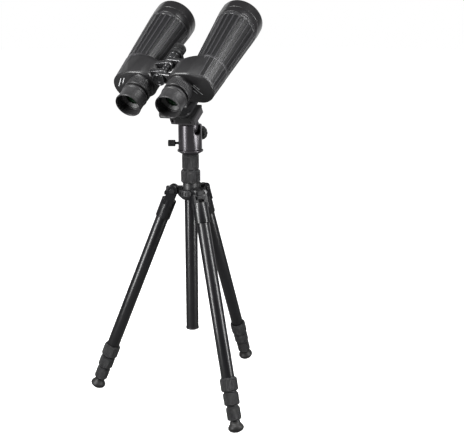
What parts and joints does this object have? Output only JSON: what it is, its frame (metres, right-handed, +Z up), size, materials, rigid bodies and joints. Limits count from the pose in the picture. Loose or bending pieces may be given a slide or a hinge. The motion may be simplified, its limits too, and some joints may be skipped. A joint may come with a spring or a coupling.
{
  "type": "astronomy binoculars",
  "caption": "Large Porro-prism astronomy binoculars with individual-focus eyepieces on an L-bracket, ball head and folding travel tripod.",
  "frame": {"origin": "middle of the footprint box, on the floor under the feet", "axes": "+Y horizontal, the way the binoculars look; +X to the user's right; +Z up"},
  "size_m": [0.3686, 0.3798, 0.7785],
  "materials": {
    "casting": "satin black powder coat",
    "tube": "gloss black anodised",
    "grip_rubber": "fine textured rubber",
    "knob_plastic": "knurled black",
    "head_metal": "satin dark grey anodised",
    "housing_rubber": "smooth rubber-coated",
    "armour_rubber": "fine cross texture",
    "shade_coat": "satin black",
    "eyecup_rubber": "soft matt",
    "lens_glass": "green coated",
    "prism_glass": "polished",
    "steel": "plain",
    "hinge_metal": "gloss black"
  },
  "bodies": {
    "tripod_base": {"spider": "casting", "leg_hinge_bolts": "steel"},
    "leg_1": {"leg_1_upper": "tube"},
    "leg_1_stop": {"leg_1_stop": "casting"},
    "leg_1_collar": {"leg_1_collar": "grip_rubber"},
    "leg_1_section_2": {"leg_1_section_2": "tube"},
    "leg_1_section_3": {"leg_1_section_3": "tube"},
    "leg_1_section_4": {"leg_1_section_4": "tube"},
    "leg_2": {"leg_2_upper": "tube"},
    "leg_2_stop": {"leg_2_stop": "casting"},
    "leg_2_collar": {"leg_2_collar": "grip_rubber"},
    "leg_2_section_2": {"leg_2_section_2": "tube"},
    "leg_2_section_3": {"leg_2_section_3": "tube"},
    "leg_2_section_4": {"leg_2_section_4": "tube"},
    "leg_3": {"leg_3_upper": "tube"},
    "leg_3_stop": {"leg_3_stop": "casting"},
    "leg_3_collar": {"leg_3_collar": "grip_rubber"},
    "leg_3_section_2": {"leg_3_section_2": "tube"},
    "leg_3_section_3": {"leg_3_section_3": "tube"},
    "leg_3_section_4": {"leg_3_section_4": "tube"},
    "column": {"column_tube": "tube", "column_end_cap": "casting"},
    "column_lower_collar": {"column_lower_collar": "grip_rubber"},
    "inner_column": {"column_inner_tube": "tube", "head_base": "head_metal"},
    "column_upper_collar": {"column_upper_collar": "grip_rubber"},
    "head": {"head_body": "head_metal"},
    "main_lock_knob": {"main_lock_knob": "knob_plastic"},
    "pan_lock_knob": {"pan_lock_knob": "knob_plastic"},
    "ball": {"head_ball": "head_metal", "quick_plate": "knob_plastic", "bracket": "casting", "hinge_shaft": "hinge_metal", "hinge_cap": "hinge_metal", "hinge_washers": "steel"},
    "clamp_jaw": {"clamp_jaw": "head_metal"},
    "clamp_knob": {"clamp_knob": "knob_plastic"},
    "bracket_knob": {"bracket_knob": "knob_plastic"},
    "left_half": {"left_housing": "housing_rubber", "left_cover": "housing_rubber", "left_prisms": "prism_glass", "left_barrel": "shade_coat", "left_armour": "armour_rubber", "left_objective": "lens_glass", "left_shade": "shade_coat"},
    "left_focus_ring": {"left_focus_ring": "eyecup_rubber"},
    "left_eyepiece": {"left_ocular_barrel": "shade_coat", "left_eye_lenses": "lens_glass", "left_eyecup": "eyecup_rubber"},
    "right_half": {"right_housing": "housing_rubber", "right_cover": "housing_rubber", "right_prisms": "prism_glass", "right_barrel": "shade_coat", "right_armour": "armour_rubber", "right_objective": "lens_glass", "right_shade": "shade_coat"},
    "right_focus_ring": {"right_focus_ring": "eyecup_rubber"},
    "right_eyepiece": {"right_ocular_barrel": "shade_coat", "right_eye_lenses": "lens_glass", "right_eyecup": "eyecup_rubber"}
  },
  "joints": [
    {"name": "leg_1_fold", "type": "hinge", "parent": "tripod_base", "child": "leg_1", "pos_m": [0.02086, 0.01397, 0.4214], "axis": [-0.9877, 0.1564, 0], "range_deg": [0, 21.6]},
    {"name": "leg_1_stop_pull", "type": "slide", "parent": "leg_1", "child": "leg_1_stop", "axis": [0.1564, 0.9877, 0], "range_m": [0, 0.005], "stiffness_N_per_m": 200, "springref_m": -0.004},
    {"name": "leg_1_collar_turn", "type": "hinge", "parent": "leg_1", "child": "leg_1_collar", "pos_m": [0.02086, 0.01397, 0.4214], "axis": [0.0577, 0.3644, -0.9295], "range_deg": [0, 90]},
    {"name": "leg_1_extend_2", "type": "slide", "parent": "leg_1", "child": "leg_1_section_2", "axis": [0.0577, 0.3644, -0.9295], "range_m": [0, 0.25]},
    {"name": "leg_1_extend_3", "type": "slide", "parent": "leg_1_section_2", "child": "leg_1_section_3", "axis": [0.0577, 0.3644, -0.9295], "range_m": [0, 0.25]},
    {"name": "leg_1_extend_4", "type": "slide", "parent": "leg_1_section_3", "child": "leg_1_section_4", "axis": [0.0577, 0.3644, -0.9295], "range_m": [0, 0.25]},
    {"name": "leg_2_fold", "type": "hinge", "parent": "tripod_base", "child": "leg_2", "pos_m": [0.04252, -0.04246, 0.4214], "axis": [0.6293, 0.7771, 0], "range_deg": [0, 21.6]},
    {"name": "leg_2_stop_pull", "type": "slide", "parent": "leg_2", "child": "leg_2_stop", "axis": [0.7771, -0.6293, 0], "range_m": [0, 0.005], "stiffness_N_per_m": 200, "springref_m": -0.004},
    {"name": "leg_2_collar_turn", "type": "hinge", "parent": "leg_2", "child": "leg_2_collar", "pos_m": [0.04252, -0.04246, 0.4214], "axis": [0.2867, -0.2322, -0.9295], "range_deg": [0, 90]},
    {"name": "leg_2_extend_2", "type": "slide", "parent": "leg_2", "child": "leg_2_section_2", "axis": [0.2867, -0.2322, -0.9295], "range_m": [0, 0.25]},
    {"name": "leg_2_extend_3", "type": "slide", "parent": "leg_2_section_2", "child": "leg_2_section_3", "axis": [0.2867, -0.2322, -0.9295], "range_m": [0, 0.25]},
    {"name": "leg_2_extend_4", "type": "slide", "parent": "leg_2_section_3", "child": "leg_2_section_4", "axis": [0.2867, -0.2322, -0.9295], "range_m": [0, 0.25]},
    {"name": "leg_3_fold", "type": "hinge", "parent": "tripod_base", "child": "leg_3", "pos_m": [-0.01718, -0.03301, 0.4214], "axis": [0.3584, -0.9336, 0], "range_deg": [0, 21.6]},
    {"name": "leg_3_stop_pull", "type": "slide", "parent": "leg_3", "child": "leg_3_stop", "axis": [-0.9336, -0.3584, 0], "range_m": [0, 0.005], "stiffness_N_per_m": 200, "springref_m": -0.004},
    {"name": "leg_3_collar_turn", "type": "hinge", "parent": "leg_3", "child": "leg_3_collar", "pos_m": [-0.01718, -0.03301, 0.4214], "axis": [-0.3444, -0.1322, -0.9295], "range_deg": [0, 90]},
    {"name": "leg_3_extend_2", "type": "slide", "parent": "leg_3", "child": "leg_3_section_2", "axis": [-0.3444, -0.1322, -0.9295], "range_m": [0, 0.25]},
    {"name": "leg_3_extend_3", "type": "slide", "parent": "leg_3_section_2", "child": "leg_3_section_3", "axis": [-0.3444, -0.1322, -0.9295], "range_m": [0, 0.25]},
    {"name": "leg_3_extend_4", "type": "slide", "parent": "leg_3_section_3", "child": "leg_3_section_4", "axis": [-0.3444, -0.1322, -0.9295], "range_m": [0, 0.25]},
    {"name": "column_lift", "type": "slide", "parent": "tripod_base", "child": "column", "axis": [0, 0, 1], "range_m": [0, 0.25]},
    {"name": "column_lower_collar_turn", "type": "hinge", "parent": "tripod_base", "child": "column_lower_collar", "pos_m": [0.0154, -0.0205, 0.448], "axis": [0, 0, 1], "range_deg": [0, 90]},
    {"name": "inner_column_lift", "type": "slide", "parent": "column", "child": "inner_column", "axis": [0, 0, 1], "range_m": [0, 0.24]},
    {"name": "column_upper_collar_turn", "type": "hinge", "parent": "column", "child": "column_upper_collar", "pos_m": [0.0154, -0.0205, 0.478], "axis": [0, 0, 1], "range_deg": [0, 90]},
    {"name": "head_pan", "type": "hinge", "parent": "inner_column", "child": "head", "pos_m": [0.0154, -0.0205, 0.5], "axis": [0, 0, 1], "continuous": true},
    {"name": "main_lock_turn", "type": "hinge", "parent": "head", "child": "main_lock_knob", "pos_m": [0.0154, -0.0205, 0.53], "axis": [0.309, 0.9511, 0], "range_deg": [0, 270]},
    {"name": "pan_lock_turn", "type": "hinge", "parent": "head", "child": "pan_lock_knob", "pos_m": [0.0154, -0.0205, 0.513], "axis": [-0.9063, -0.4226, 0], "range_deg": [0, 350]},
    {"name": "ball_tilt", "type": "hinge", "parent": "head", "child": "ball", "pos_m": [0.0154, -0.0205, 0.546], "axis": [1, 0, 0], "range_deg": [-65, 5]},
    {"name": "clamp_knob_turn", "type": "hinge", "parent": "ball", "child": "clamp_knob", "pos_m": [0.0154, -0.03444, 0.56747], "axis": [-1, 0, 0], "range_deg": [0, 720]},
    {"name": "clamp_jaw_open", "type": "slide", "parent": "ball", "child": "clamp_jaw", "axis": [-1, 0, 0], "range_m": [0, 0.0028]},
    {"name": "bracket_knob_turn", "type": "hinge", "parent": "ball", "child": "bracket_knob", "pos_m": [0.0154, -0.06762, 0.68448], "axis": [0, 0.8387, 0.5446], "range_deg": [0, 350]},
    {"name": "right_fold", "type": "hinge", "parent": "ball", "child": "right_half", "pos_m": [0.0154, -0.10117, 0.66269], "axis": [0, 0.8387, 0.5446], "range_deg": [-1, 26]},
    {"name": "left_fold", "type": "hinge", "parent": "ball", "child": "left_half", "pos_m": [0.0154, -0.10117, 0.66269], "axis": [0, 0.8387, 0.5446], "range_deg": [-26, 1]},
    {"name": "left_focus_turn", "type": "hinge", "parent": "left_half", "child": "left_focus_ring", "pos_m": [-0.0243, -0.13983, 0.62125], "axis": [0, 0.8387, 0.5446], "range_deg": [-150, 150]},
    {"name": "left_eyepiece_slide", "type": "slide", "parent": "left_half", "child": "left_eyepiece", "axis": [0, 0.8387, 0.5446], "range_m": [-0.004, 0.004]},
    {"name": "right_focus_turn", "type": "hinge", "parent": "right_half", "child": "right_focus_ring", "pos_m": [0.0551, -0.13983, 0.62125], "axis": [0, 0.8387, 0.5446], "range_deg": [-150, 150]},
    {"name": "right_eyepiece_slide", "type": "slide", "parent": "right_half", "child": "right_eyepiece", "axis": [0, 0.8387, 0.5446], "range_m": [-0.004, 0.004]}
  ],
  "couplings": [
    {"joint": "clamp_knob_turn", "follows": "clamp_jaw_open", "rad_per_m": 4483},
    {"joint": "left_fold", "follows": "right_fold", "ratio": -1},
    {"joint": "left_focus_turn", "follows": "left_eyepiece_slide", "rad_per_m": 654},
    {"joint": "right_focus_turn", "follows": "right_eyepiece_slide", "rad_per_m": 654}
  ]
}
